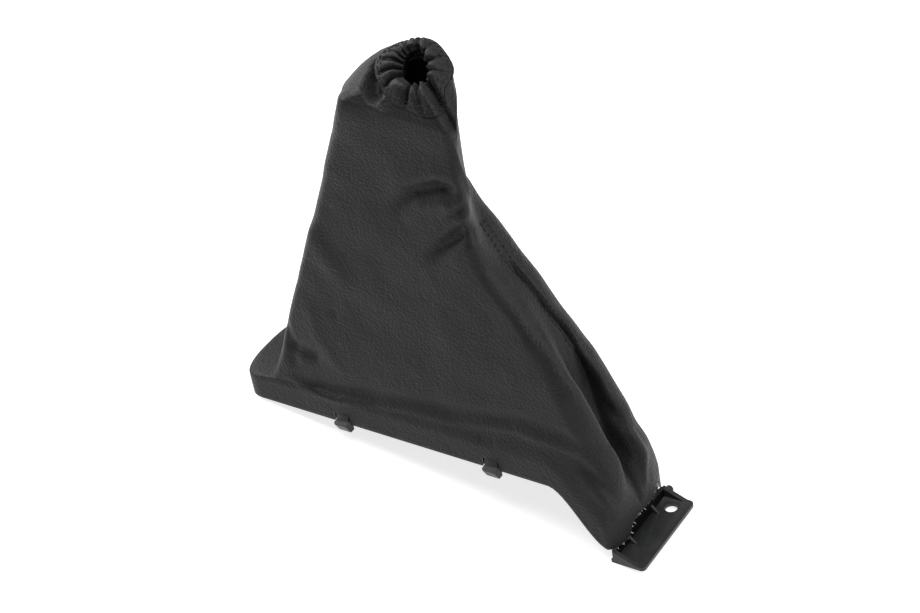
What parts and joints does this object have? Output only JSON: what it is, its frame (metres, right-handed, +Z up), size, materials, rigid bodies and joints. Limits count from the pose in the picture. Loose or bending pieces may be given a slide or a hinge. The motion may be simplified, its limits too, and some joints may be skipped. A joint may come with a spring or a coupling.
{
  "type": "handbrake gaiter",
  "caption": "Black leatherette handbrake gaiter with a gathered collar, on a moulded frame with snap hooks and a screw tab.",
  "frame": {"origin": "centre of the bounding box at the floor under the part as it lies on its rear edge and its tab's heel", "axes": "+X from the rounded rear end to the screw tab, +Y across the frame, +Z up from the floor"},
  "size_m": [0.2478, 0.0592, 0.2428],
  "materials": {
    "plastic": "fine-grained black moulding",
    "leatherette": "pebble-grained, semi-matt",
    "elastic": "covered elastic cord"
  },
  "bodies": {
    "root": {"frame": "plastic", "sleeve": "leatherette", "elastic_ring": "elastic"}
  },
  "joints": []
}
